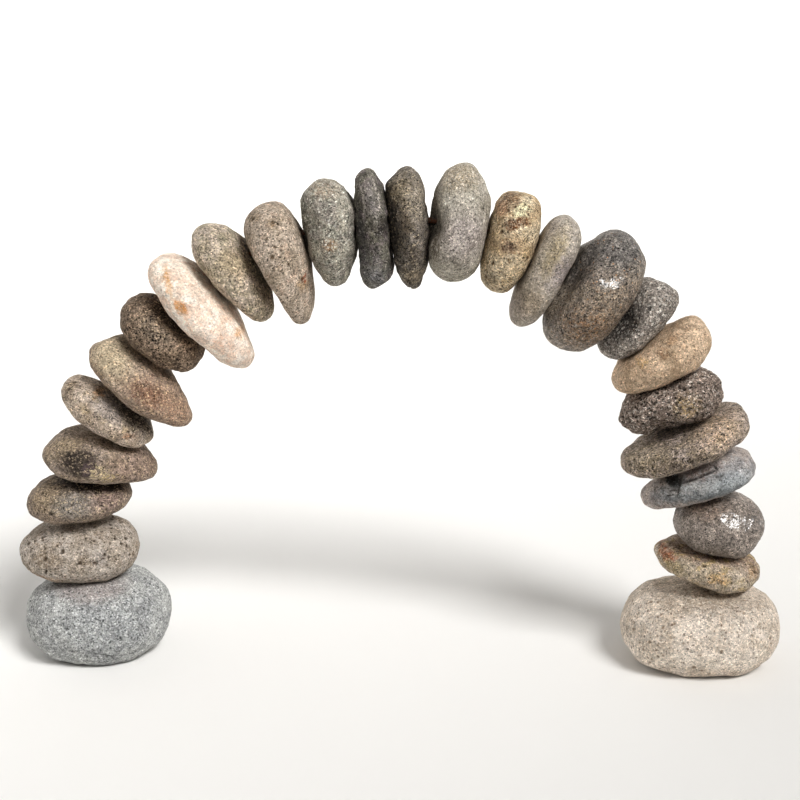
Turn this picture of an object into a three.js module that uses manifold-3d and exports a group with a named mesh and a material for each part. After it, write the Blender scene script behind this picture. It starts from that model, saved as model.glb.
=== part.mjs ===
// Rock arch: river stones threaded on one bent steel rod that stands in two larger base stones.
// Millimetres, +Z up. X runs from the left foot to the right foot and Y from front to back.
import * as THREE from 'three';
import { mergeVertices } from 'three/addons/utils/BufferGeometryUtils.js';
import Module from 'manifold-3d';

const wasm = await Module();
wasm.setup();

// The rod: two upright legs joined by a half circle
const archRadius = 279;
const springHeight = 115;
const footHeight = 26;
const rodRadius = 2.4;
const rodSides = 8;
const rodSteps = 34;

// The holes drilled through the stones
const boreRadius = 4.8;
const boreSides = 6;
const boreOverrun = 9;
const lengthTolerance = 1e-6;

// Where one stone rests on the next, the gap left between them and how softly the face fades out
const seatGap = 0.3;
const seatSoftness = 1.3;

// Surface of the stones: fineness of the facets, and swells as shares of a stone's size
const stoneDetail = 3;
const broadSwell = { height: 0.018, along: 2.3, through: 2.1 };
const narrowSwell = { height: 0.01, along: 2.2, across: 3.4 };

// How softly a worn face fades out, as a share of its depth
const flatFade = 1 / 3;

// Where a bent stone keeps its height, as a share of its half length squared
const levelShare = 0.4;

// Corners closer together than this are one corner
const mergeDistance = 1e-4;

const legLength = springHeight - footHeight;
const archLength = Math.PI * archRadius;
const rodLength = archLength + 2 * legLength;

// Each stone, from the left foot over the crown to the right foot.
//   at      centre in X and Z; shift moves it in Y
//   long    half length across the rod, deep half depth in Y, thick half thickness along the rod
//   tilt    turn of the long axis in the XZ plane and turn about the thickness, in degrees
//   full    2 is an ellipsoid and more is boxier
//   taper   share by which the + end of the long axis is thicker than the middle
//   belly   share by which the upper side is thicker than the lower one
//   bend    how far the two ends turn up, in millimetres
//   flats   worn faces: direction in the stone's own axes and how deep the face is worn
//   dents   hollows: direction, reach in radians and depth
//   seat    direction in which the next stone lies, in degrees in the XZ plane;
//           seatLean turns it towards the back
const stones = [
  {
    name: 'left_base_stone', color: 0x9ea2a3, roughness: 0.9,
    at: [-273.7, 32], long: 63.5, deep: 64, thick: 41,
    tilt: -1, full: 2.2, taper: 0.02,
    flats: [[0.5, 0.8, 0.35, 4], [-0.7, -0.5, 0.5, 2]],
    seat: 95,
  },
  {
    name: 'beige_pitted_stone', color: 0x8f877b, roughness: 0.85,
    at: [-288, 94], shift: 2, long: 53, deep: 46, thick: 29,
    tilt: 3, full: 2.2, taper: 0.03,
    flats: [[-0.6, 0.75, 0.2, 4]],
    seat: 92,
  },
  {
    name: 'mottled_thin_stone', color: 0x857869, roughness: 0.8,
    at: [-284.5, 143], shift: -2, long: 46.5, deep: 40, thick: 20,
    tilt: 4, full: 2.15, taper: -0.18,
    flats: [[0.5, -0.8, 0.3, 3], [-0.4, 0.9, 0, 3]],
    seat: 82,
  },
  {
    name: 'brown_blotched_stone', color: 0x6f6252, roughness: 0.75,
    at: [-265.5, 178], shift: 3, long: 50.5, deep: 44, thick: 22,
    tilt: -10, turn: 10, full: 2.2, taper: -0.16, belly: 0.16,
    flats: [[-0.7, 0, -0.7, 2], [0.6, 0.8, 0.1, 4]],
    seat: 70,
  },
  {
    name: 'grey_tan_stone', color: 0x7f7565, roughness: 0.8,
    at: [-256.2, 223], shift: -1, long: 45.5, deep: 40, thick: 19,
    tilt: -34, full: 2.25, taper: 0.02, belly: 0.1,
    flats: [[0, -0.35, 0.94, 2], [-0.5, 0.85, 0.1, 3]],
    seat: 53,
  },
  {
    name: 'brown_speckled_stone', color: 0x75685a, roughness: 0.8,
    at: [-226.8, 249.6], shift: 2, long: 54, deep: 44, thick: 23,
    tilt: -39, turn: -10, full: 2.2, taper: -0.04, belly: 0.2,
    flats: [[0.55, 0, 0.83, 4], [-0.83, 0, 0.55, 3], [0.7, 0.7, 0.2, 4]],
    seat: 54,
  },
  {
    name: 'dark_brown_stone', color: 0x5d5347, roughness: 0.75,
    at: [-204.5, 294.4], shift: -2, long: 39.5, deep: 38, thick: 24,
    tilt: -37, full: 2.3, taper: -0.02,
    flats: [[-0.3, 0.9, 0.3, 3], [0.6, -0.6, 0.5, 2]],
    seat: 42,
  },
  {
    name: 'cream_stone', color: 0xd6c5b0, roughness: 0.7,
    at: [-169, 313.5], shift: -3, long: 60.5, deep: 46, thick: 22.5,
    tilt: -49, turn: 8, full: 2.2, taper: -0.06, belly: 0.1,
    flats: [[0.31, 0, 0.95, 1.5], [0.4, 0.9, -0.1, 4]],
    seat: 39,
  },
  {
    name: 'olive_grey_stone', color: 0x807868, roughness: 0.8,
    at: [-141.5, 346.4], shift: 2, long: 49.5, deep: 42, thick: 21,
    tilt: -55, full: 2.2, taper: -0.24, belly: 0.12,
    flats: [[0, -0.4, 0.92, 1.5], [-0.6, 0.8, 0, 3]],
    seat: 24,
  },
  {
    name: 'beige_brown_stone', color: 0x8f8371, roughness: 0.85,
    at: [-98.5, 355.5], shift: -2, long: 54, deep: 44, thick: 24,
    tilt: -73, turn: -8, full: 2.2, taper: -0.3,
    flats: [[0.15, 0, -0.98, 4.5], [0.5, 0.85, 0.2, 4]],
    seat: 18,
  },
  {
    name: 'green_grey_stone', color: 0x757568, roughness: 0.8,
    at: [-58.5, 382], shift: 1, long: 45, deep: 40, thick: 24.5,
    tilt: -83, full: 2.2, taper: -0.28,
    flats: [[0, -0.5, -0.86, 3], [-0.6, 0, 0.8, 2], [-0.5, 0.85, 0.2, 3]],
    seat: 7,
  },
  {
    name: 'veined_slate_stone', color: 0x5d5858, roughness: 0.7,
    at: [-22, 385], shift: -4, long: 51.5, deep: 38, thick: 17,
    tilt: -84, full: 2.15, taper: 0.16,
    flats: [[0, -0.5, -0.86, 2], [0.85, 0, 0.5, 6], [0.2, 0.95, 0.2, 3]],
    seat: 6,
  },
  {
    name: 'thin_dark_stone', color: 0x534d45, roughness: 0.75,
    at: [6, 384], shift: 3, long: 52, deep: 42, thick: 19.5,
    tilt: -87, full: 2.2, taper: -0.1,
    flats: [[-0.6, 0, -0.8, 3], [0, -0.7, -0.7, 5]],
    seat: 4,
  },
  {
    name: 'light_grey_stone', color: 0x85827c, roughness: 0.8,
    at: [48.5, 391.5], shift: -1, long: 50.5, deep: 46, thick: 27,
    tilt: 82, turn: 8, full: 2.2, taper: -0.1,
    dents: [[0.05, -0.25, 1, 0.4, 5]],
    flats: [[0, -0.5, 0.86, 3], [0.6, 0.8, 0, 5]],
    seat: -13,
  },
  {
    name: 'rust_yellow_stone', color: 0x8f7c58, roughness: 0.8,
    at: [93.2, 374], shift: 2, long: 44, deep: 40, thick: 22.6,
    tilt: 77, full: 2.5, taper: 0.06,
    flats: [[-0.6, 0.8, 0, 4]],
    seat: -24,
  },
  {
    name: 'smooth_grey_stone', color: 0x78746b, roughness: 0.65,
    at: [122, 350.5], shift: -3, long: 51, deep: 44, thick: 19.7,
    tilt: 64, full: 2.2, taper: 0.08,
    flats: [[0.6, 0.8, 0.2, 3]],
    seat: -30,
  },
  {
    name: 'large_dark_stone', color: 0x56524d, roughness: 0.5,
    at: [163, 335], shift: -5, long: 55.5, deep: 48, thick: 33,
    tilt: 62, turn: -8, full: 2.2, taper: 0.02,
    flats: [[0, -0.5, 0.86, 6], [-0.4, 0.9, 0.1, 5]],
    seat: -32, seatLean: 0.3,
  },
  {
    name: 'speckled_granite_stone', color: 0x6d6a66, roughness: 0.8,
    at: [202, 309.5], shift: 5, long: 41, deep: 38, thick: 22,
    tilt: 52, full: 2.2, taper: 0.02,
    seat: -50,
  },
  {
    name: 'warm_tan_stone', color: 0x958068, roughness: 0.75,
    at: [222.5, 277.5], shift: -1, long: 46.5, deep: 42, thick: 23.2,
    tilt: 34, turn: 10, full: 2.25, taper: 0.2,
    flats: [[-0.6, 0.8, 0.2, 4]],
    seat: -66,
  },
  {
    name: 'rough_dark_stone', color: 0x5a564f, roughness: 0.85,
    at: [232.5, 237], shift: 2, long: 45, deep: 44, thick: 25,
    tilt: 17, full: 2.3, taper: 0.02,
    flats: [[-0.7, 0, 0.7, 2]],
    dents: [[0.1, -0.5, -0.85, 0.45, 5]],
    seat: -67,
  },
  {
    name: 'bent_brown_stone', color: 0x7d6f5b, roughness: 0.8,
    at: [247.5, 203], shift: -3, long: 59, deep: 46, thick: 17.5,
    tilt: 25, full: 2.35, taper: 0.1, bend: 1.5,
    flats: [[0, 0, -1, 3], [0.5, 0.85, 0.1, 4]],
    seat: -68,
  },
  {
    name: 'blue_slate_stone', color: 0x6f757a, roughness: 0.8,
    at: [260.5, 167.5], shift: 1, long: 50, deep: 44, thick: 19.8,
    tilt: 20, full: 2.15, taper: 0.06, belly: 0.2,
    flats: [[-0.5, 0, 0.85, 2], [0.5, 0.8, 0.3, 3]],
    seat: -72,
  },
  {
    name: 'glossy_grey_stone', color: 0x645f59, roughness: 0.35,
    at: [280.5, 127], shift: -2, long: 39.5, deep: 38, thick: 28.5,
    tilt: -8, full: 2.2, taper: 0.02,
    flats: [[0.7, 0, -0.7, 3], [-0.6, 0.8, 0, 3]],
    seat: -102,
  },
  {
    name: 'ochre_tan_stone', color: 0x86735a, roughness: 0.8,
    at: [273.5, 88.5], shift: 3, long: 47, deep: 44, thick: 17,
    tilt: -15, full: 2.2, taper: 0.1,
    flats: [[0.5, 0.85, 0, 3]],
    seat: -96,
  },
  {
    name: 'right_base_stone', color: 0xb3a591, roughness: 0.9,
    at: [267.5, 31], long: 70, deep: 64, thick: 40,
    tilt: 1, full: 2.3, taper: 0.02,
    flats: [[-0.5, 0.8, 0.3, 5], [0.6, -0.6, 0.5, 2]],
  },
];

// Point on the rod's centre line, by length from the left foot
function rodPoint(length) {
  if (length < legLength) {
    return new THREE.Vector3(-archRadius, 0, footHeight + length);
  }
  if (length > legLength + archLength) {
    return new THREE.Vector3(archRadius, 0, footHeight + rodLength - length);
  }
  const angle = (length - legLength) / archRadius;
  const x = -archRadius * Math.cos(angle);
  const z = springHeight + archRadius * Math.sin(angle);
  return new THREE.Vector3(x, 0, z);
}

class RodPath extends THREE.Curve {
  getPoint(t, target = new THREE.Vector3()) {
    return target.copy(rodPoint(t * rodLength));
  }
}

// Length along the rod of the point nearest to a stone's centre
function rodLengthAt([x, z]) {
  if (z < springHeight) {
    const up = Math.max(z - footHeight, 0);
    return x < 0 ? up : rodLength - up;
  }
  return legLength + archRadius * Math.atan2(z - springHeight, -x);
}

function radians(degrees) {
  return degrees * Math.PI / 180;
}

// Keeps a distance below zero, bending it smoothly near the limit
function softLimit(distance, softness) {
  return -softness * Math.log(1 + Math.exp(-distance / softness));
}

function reachOf(points, direction) {
  return Math.max(...points.map((point) => point.dot(direction)));
}

// Wears a face into the points wherever they stand beyond a plane
function wearFace(points, direction, limit, softness) {
  for (const point of points) {
    const beyond = point.dot(direction) - limit;
    point.addScaledVector(direction, softLimit(beyond, softness) - beyond);
  }
}

// Presses a stone against the seat plane so that it stops half a seat gap short of it
function pressOnSeat(points, direction, plane) {
  const rest = seatGap / 2;
  const reach = reachOf(points, direction) - plane;
  if (reach <= -rest) {
    return;
  }
  const span = Math.exp(rest / seatSoftness) - Math.exp(-reach / seatSoftness);
  const shift = -seatSoftness * Math.log(span);
  wearFace(points, direction, plane + shift, seatSoftness);
}

// Gentle unevenness that differs from stone to stone, each stone having its own phases
function unevenness(direction, index) {
  const alongWave = Math.sin(broadSwell.along * direction.x + 1.7 * index);
  const throughWave = Math.cos(broadSwell.through * direction.z + 2.9 * index);
  const slope = narrowSwell.across * direction.y + narrowSwell.along * direction.x;
  const narrowWave = Math.sin(slope + 4.1 * index);
  return 1 + broadSwell.height * alongWave * throughWave + narrowSwell.height * narrowWave;
}

function stonePoints(stone, directions, index) {
  const full = stone.full;
  const taper = stone.taper ?? 0;
  const belly = stone.belly ?? 0;
  const points = directions.map((direction) => {
    const powers = direction.toArray().map((share) => Math.abs(share) ** full);
    const size = (powers[0] + powers[1] + powers[2]) ** (1 / full);
    const point = direction.clone().multiplyScalar(unevenness(direction, index) / size);
    const wide = 1 + taper * point.x;
    point.z *= wide * (1 + belly * Math.sign(point.z));
    point.y *= 1 + 0.5 * taper * point.x;
    const lift = (stone.bend ?? 0) * (point.x ** 2 - levelShare);
    point.multiply(new THREE.Vector3(stone.long, stone.deep, stone.thick));
    point.z += lift;
    return point;
  });
  for (const [x, y, z, reach, depth] of stone.dents ?? []) {
    const middle = new THREE.Vector3(x, y, z).normalize();
    points.forEach((point, i) => {
      const angle = directions[i].angleTo(middle);
      point.addScaledVector(middle, -depth * Math.exp(-((angle / reach) ** 2)));
    });
  }
  for (const [x, y, z, depth] of stone.flats ?? []) {
    const face = new THREE.Vector3(x, y, z).normalize();
    wearFace(points, face, reachOf(points, face) - depth, depth * flatFade);
  }
  const alongZ = new THREE.Vector3(0, 0, 1);
  const alongY = new THREE.Vector3(0, 1, 0);
  const place = new THREE.Vector3(stone.at[0], stone.shift ?? 0, stone.at[1]);
  for (const point of points) {
    point.applyAxisAngle(alongZ, radians(stone.turn ?? 0));
    point.applyAxisAngle(alongY, -radians(stone.tilt));
    point.add(place);
  }
  return points;
}

function solidOf(geometry) {
  const bare = geometry.clone();
  bare.deleteAttribute('normal');
  bare.deleteAttribute('uv');
  const merged = mergeVertices(bare, mergeDistance);
  const vertProperties = new Float32Array(merged.attributes.position.array);
  const triVerts = new Uint32Array(merged.index.array);
  return new wasm.Manifold(new wasm.Mesh({ numProp: 3, vertProperties, triVerts }));
}

function geometryOf(solid) {
  const mesh = solid.getMesh();
  const geometry = new THREE.BufferGeometry();
  geometry.setAttribute('position', new THREE.BufferAttribute(mesh.vertProperties, mesh.numProp));
  geometry.setIndex(new THREE.BufferAttribute(mesh.triVerts, 1));
  geometry.computeVertexNormals();
  return geometry;
}

// A drill as long as the way from start to end, both points on its axis
function drill(start, end) {
  const way = end.clone().sub(start);
  const geometry = new THREE.CylinderGeometry(boreRadius, boreRadius, way.length(), boreSides);
  const cylinderAxis = new THREE.Vector3(0, 1, 0);
  const turn = new THREE.Quaternion().setFromUnitVectors(cylinderAxis, way.clone().normalize());
  geometry.applyQuaternion(turn);
  const middle = start.clone().add(end).multiplyScalar(0.5);
  geometry.translate(middle.x, middle.y, middle.z);
  return solidOf(geometry);
}

// Length along the rod where it passes through a seat plane, searched between two stones
function rodLengthAtSeat(seat, low, high) {
  let before = low;
  let after = high;
  while (after - before > lengthTolerance) {
    const middle = (before + after) / 2;
    if (rodPoint(middle).dot(seat.direction) < seat.plane) {
      before = middle;
    } else {
      after = middle;
    }
  }
  return (before + after) / 2;
}

// A straight hole whose axis lies midway between the rod's arc and its chord
function boreThrough(startLength, endLength) {
  const start = rodPoint(startLength);
  const end = rodPoint(endLength);
  const along = end.clone().sub(start).normalize();
  const chordMiddle = start.clone().add(end).multiplyScalar(0.5);
  const offset = rodPoint((startLength + endLength) / 2).sub(chordMiddle).multiplyScalar(0.5);
  start.add(offset).addScaledVector(along, -boreOverrun);
  end.add(offset).addScaledVector(along, boreOverrun);
  return drill(start, end);
}

function blindBore(x, topHeight) {
  const bottom = new THREE.Vector3(x, 0, footHeight - seatGap);
  const top = new THREE.Vector3(x, 0, topHeight);
  return drill(bottom, top);
}

function makeStones() {
  const pebble = new THREE.IcosahedronGeometry(1, stoneDetail);
  pebble.deleteAttribute('normal');
  pebble.deleteAttribute('uv');
  const sphere = mergeVertices(pebble, mergeDistance);
  const corners = sphere.attributes.position;
  const directions = Array.from({ length: corners.count }, (_, i) => (
    new THREE.Vector3().fromBufferAttribute(corners, i).normalize()
  ));
  const clouds = stones.map((stone, index) => stonePoints(stone, directions, index + 1));

  const seats = stones.slice(0, -1).map((stone, i) => {
    const angle = radians(stone.seat);
    const direction = new THREE.Vector3(Math.cos(angle), stone.seatLean ?? 0, Math.sin(angle));
    direction.normalize();
    const back = direction.clone().negate();
    const plane = (reachOf(clouds[i], direction) - reachOf(clouds[i + 1], back)) / 2;
    return { direction, back, plane };
  });
  seats.forEach((seat, i) => {
    pressOnSeat(clouds[i], seat.direction, seat.plane);
    pressOnSeat(clouds[i + 1], seat.back, -seat.plane);
  });

  const places = stones.map((stone) => rodLengthAt(stone.at));
  const crossings = seats.map((seat, i) => rodLengthAtSeat(seat, places[i], places[i + 1]));

  return stones.map((stone, i) => {
    for (const point of clouds[i]) {
      point.z = Math.max(point.z, 0);
    }
    const geometry = sphere.clone();
    geometry.attributes.position.copyArray(clouds[i].flatMap((point) => point.toArray()));
    let bore;
    if (i === 0) {
      bore = blindBore(-archRadius, rodPoint(crossings[0]).z + boreOverrun);
    } else if (i === stones.length - 1) {
      bore = blindBore(archRadius, rodPoint(crossings[i - 1]).z + boreOverrun);
    } else {
      bore = boreThrough(crossings[i - 1], crossings[i]);
    }
    const material = new THREE.MeshStandardMaterial({ color: stone.color, roughness: stone.roughness });
    const mesh = new THREE.Mesh(geometryOf(solidOf(geometry).subtract(bore)), material);
    mesh.name = stone.name;
    return mesh;
  });
}

function makeRod() {
  const section = new THREE.Shape();
  for (let side = 0; side < rodSides; side += 1) {
    const angle = 2 * Math.PI * side / rodSides;
    const x = rodRadius * Math.cos(angle);
    const y = rodRadius * Math.sin(angle);
    if (side === 0) {
      section.moveTo(x, y);
    } else {
      section.lineTo(x, y);
    }
  }
  const geometry = new THREE.ExtrudeGeometry(section, { steps: rodSteps, extrudePath: new RodPath() });
  const material = new THREE.MeshStandardMaterial({ color: 0x6b6259, roughness: 0.6, metalness: 0.8 });
  const mesh = new THREE.Mesh(geometry, material);
  mesh.name = 'steel_rod';
  return mesh;
}

const arch = new THREE.Group();
arch.add(...makeStones(), makeRod());

// The origin lies on the surface that the arch stands on, below the middle of the whole
const extent = new THREE.Box3().setFromObject(arch);
const centre = extent.getCenter(new THREE.Vector3());
arch.position.set(-centre.x, -centre.y, 0);
arch.updateMatrixWorld(true);

export default arch;
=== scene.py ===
# Rock arch: river stones threaded on a bent steel rod.
# Each stone starts from its solid in the frame, is rounded, drilled, worn and pitted, and gets a finish.
# Sizes, places and depths are in millimetres until they are multiplied by mm.
import math
import random
from functools import partial

import bmesh
import bpy
import numpy as np
from mathutils import Matrix, Vector, noise
from mathutils.bvhtree import BVHTree
from mathutils.kdtree import KDTree


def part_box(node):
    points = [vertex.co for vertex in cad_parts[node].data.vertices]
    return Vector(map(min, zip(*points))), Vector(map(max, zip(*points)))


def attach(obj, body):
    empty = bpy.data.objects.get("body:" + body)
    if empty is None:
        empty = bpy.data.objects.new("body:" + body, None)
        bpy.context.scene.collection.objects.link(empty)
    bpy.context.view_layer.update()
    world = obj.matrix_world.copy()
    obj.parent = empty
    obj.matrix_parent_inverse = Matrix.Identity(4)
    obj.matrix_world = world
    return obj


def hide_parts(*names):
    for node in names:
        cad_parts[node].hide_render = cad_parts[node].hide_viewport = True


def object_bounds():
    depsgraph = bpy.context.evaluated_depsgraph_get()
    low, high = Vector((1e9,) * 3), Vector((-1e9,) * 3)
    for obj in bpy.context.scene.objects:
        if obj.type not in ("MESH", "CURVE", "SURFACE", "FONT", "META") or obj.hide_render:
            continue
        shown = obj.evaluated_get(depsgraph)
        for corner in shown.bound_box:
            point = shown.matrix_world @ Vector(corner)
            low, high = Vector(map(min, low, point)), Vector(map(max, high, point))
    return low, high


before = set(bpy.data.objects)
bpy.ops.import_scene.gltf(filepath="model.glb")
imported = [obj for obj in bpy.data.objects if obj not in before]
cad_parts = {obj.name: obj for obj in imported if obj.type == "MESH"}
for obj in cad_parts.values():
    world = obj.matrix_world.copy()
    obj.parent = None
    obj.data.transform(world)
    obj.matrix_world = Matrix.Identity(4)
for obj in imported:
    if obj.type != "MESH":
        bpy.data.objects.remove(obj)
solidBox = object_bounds()
print("frame loaded,", len(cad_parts), "nodes")

mm = 0.001
samePlace = 0.001 * mm   # corners closer than this are merged


# Mesh helpers
def vectors(items, name):
    values = np.empty(len(items) * 3, np.float32)
    items.foreach_get(name, values)
    return values.reshape(-1, 3).astype(float)


def coordinates(piece):
    return vectors(piece.data.vertices, "co")


def moveTo(piece, points):
    piece.data.vertices.foreach_set("co", points.astype(np.float32).ravel())
    piece.data.update()


def unit(direction):
    return np.array(Vector(direction).normalized())


def evaluated(piece):
    graph = bpy.context.evaluated_depsgraph_get()
    graph.update()
    return bpy.data.meshes.new_from_object(piece.evaluated_get(graph))


def modify(piece, kind, **settings):
    modifier = piece.modifiers.new(kind.lower(), kind)
    for name, value in settings.items():
        setattr(modifier, name, value)


def applyModifiers(piece):
    finished = evaluated(piece)
    draft = piece.data
    piece.modifiers.clear()
    piece.data = finished
    bpy.data.meshes.remove(draft)


def placed(name, data):
    item = bpy.data.objects.new(name, data)
    bpy.context.collection.objects.link(item)
    return item


def pieceFrom(shape, name):
    mesh = bpy.data.meshes.new(name)
    shape.to_mesh(mesh)
    shape.free()
    return placed(name, mesh)


def newMaterial(name):
    material = bpy.data.materials.new(name)
    material.use_nodes = True
    return material, material.node_tree.nodes["Principled BSDF"]


# Node helpers
def linear(code):
    # a colour code as the shader's linear red, green, blue and alpha
    channels = [int(code[start:start + 2], 16) / 255 for start in (1, 3, 5)]
    return [c / 12.92 if c <= 0.04045 else ((c + 0.055) / 1.055) ** 2.4 for c in channels] + [1.0]


def setInputs(node, values):
    for name, value in values.items():
        node.inputs[name].default_value = value


def wire(tree, kind, feeds=None, **settings):
    # adds a node, links or sets its sockets, and gives its first output
    node = tree.nodes.new("ShaderNode" + kind)
    for name, value in settings.items():
        setattr(node, name, value)
    for socket, value in (feeds or {}).items():
        if isinstance(value, bpy.types.NodeSocket):
            tree.links.new(value, node.inputs[socket])
        else:
            node.inputs[socket].default_value = value
    return node.outputs[0]


def grade(tree, value, low, high, bottom=0.0, top=1.0):
    # a smooth step from bottom to top as the value goes from low to high
    feeds = {0: value, 1: low, 2: high, 3: bottom, 4: top}
    return wire(tree, "MapRange", feeds, interpolation_type="SMOOTHSTEP")


def times(tree, first, second):
    return wire(tree, "Math", {0: first, 1: second}, operation="MULTIPLY")


def timesPlus(tree, value, factor, offset):
    return wire(tree, "Math", {0: value, 1: factor, 2: offset}, operation="MULTIPLY_ADD")


def noiseField(tree, place, size, detail=2.0, roughness=0.55):
    feeds = {"Vector": place, "Scale": 1 / (size * mm), "Detail": detail, "Roughness": roughness}
    return wire(tree, "TexNoise", feeds)


def cellField(tree, place, size):
    return wire(tree, "TexVoronoi", {"Vector": place, "Scale": 1 / (size * mm)}).node.outputs


def layOver(tree, ground, colour, mask):
    node = wire(tree, "Mix", {0: mask, 6: ground, 7: colour}, data_type="RGBA")
    return node.node.outputs[2]


def bumpy(tree, socket, height, strength, depth):
    bump = wire(tree, "Bump", {"Strength": strength, "Distance": depth * mm, "Height": height})
    tree.links.new(bump, socket)


# The masks that lay a colour on a stone. Noise values lie about 0.5.
masking = {
    "cloudEdge": 0.06,          # half width of a cloud's edge, and how far the cover moves it
    "cloudReach": 0.45,
    "crystalEdge": 0.02,
    "speckEdge": (0.42, 0.25),  # where a round speck ends and where it is full, in shares of its cell
    "raggedSize": 5,            # tongues along a patch's edge, and their reach in times its ragged value
    "raggedReach": 4,
    "grainEdge": (0.44, 0.56),
}


def cloudMask(tree, place, size, cover):
    edge = 0.5 + masking["cloudReach"] * (0.5 - cover)
    field = noiseField(tree, place, size, 3.0, 0.6)
    return grade(tree, field, edge - masking["cloudEdge"], edge + masking["cloudEdge"])


def crystalMask(tree, place, size, cover, isRound=False):
    cells = cellField(tree, place, size)
    lot = wire(tree, "SeparateColor", {0: cells["Color"]})
    edge = masking["crystalEdge"]
    chosen = grade(tree, lot, 1 - cover - edge, 1 - cover + edge)
    if not isRound:
        return chosen
    return times(tree, chosen, grade(tree, cells["Distance"], *masking["speckEdge"]))


def patchMask(tree, place, at, across, turn, soft, ragged):
    feeds = {"Vector": place, "Scale": 1 / (masking["raggedSize"] * mm), "Detail": 3.0}
    drift = wire(tree, "TexNoise", feeds).node.outputs["Color"]
    shift = wire(tree, "VectorMath", {0: drift, 1: (-0.5, -0.5, -0.5)}, operation="ADD")
    reach = masking["raggedReach"] * ragged * mm
    shift = wire(tree, "VectorMath", {0: shift, 3: reach}, operation="SCALE")
    moved = wire(tree, "VectorMath", {0: place, 1: shift}, operation="ADD")
    centred = wire(tree, "Mapping", {
        "Vector": moved,
        "Location": [value * mm for value in at],
        "Rotation": (0, math.radians(-turn), 0),
        "Scale": [value * mm for value in across],
    }, vector_type="TEXTURE")
    away = wire(tree, "VectorMath", {0: centred}, operation="LENGTH").node.outputs["Value"]
    return grade(tree, away, 1 + soft, 1 - soft)


def markMask(tree, place, mark):
    return wire(tree, "Attribute", attribute_name=mark).node.outputs["Fac"]


# Layers of colour, each laid over the ones before it with a strength of 0 to 1
def layer(colour, strength, mask, grainy=0, grainSize=1.6):
    # grains break up a grainy one
    def masked(tree, place):
        shown = mask(tree, place)
        if grainy:
            grains = noiseField(tree, place, grainSize, 1.0)
            shown = times(tree, shown, grade(tree, grains, *masking["grainEdge"], 1 - grainy, 1.0))
        return times(tree, shown, strength)
    return colour, masked


def patch(at, across, colour, strength, turn=0, soft=0.7, ragged=3, **grains):
    # one spot with its half sizes across, turned in the front view. Some spots are painted shade and a few
    # are painted light; each says so at its stone.
    mask = partial(patchMask, at=at, across=across, turn=turn, soft=soft, ragged=ragged)
    return layer(colour, strength, mask, **grains)


def clouds(size, cover, colour, strength, **grains):
    # drifting blotches. Like crystals and specks, they cover a share of the stone.
    return layer(colour, strength, partial(cloudMask, size=size, cover=cover), **grains)


def crystals(size, cover, colour, strength):
    # angular grains
    return layer(colour, strength, partial(crystalMask, size=size, cover=cover))


def specks(size, cover, colour, strength):
    # round grains
    return layer(colour, strength, partial(crystalMask, size=size, cover=cover, isRound=True))


def tinted(mark, colour, strength):
    # the colour in the stone's own pits, cracks or veins
    return layer(colour, strength, partial(markMask, mark=mark))


# What all the stones' finishes share
look = {
    "grain": 1.1,               # size of a mineral grain, and of the three noises over it
    "fine": 1,
    "coarse": 4.2,
    "broad": 9,
    "toneEdge": (0.36, 0.64),   # the noise values that each of them is read between
    "broadEdge": (0.4, 0.6),
    "roughEdge": (0.3, 0.7),
    "grainLight": 0.8,          # how much of a stone's salt each of them takes
    "fineLight": 0.4,
    "coarseLight": 0.25,
    "broadLight": (0.93, 1.07),
    "grainCurve": (1.1, 0.35),  # most grains are close to the stone's tone, and a few are far from it
    "roughSpread": 0.12,
    "specular": 0.35,
    "relief": 0.6,
    "reliefDepth": 1.6,
    "coarseRelief": 1.2,
    "coat": {"Coat Roughness": 0.12, "Coat IOR": 1.7},
    "glintSize": 1.5,           # the small bumps of a polished spot
    "glintDepth": 0.4,
}


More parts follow.
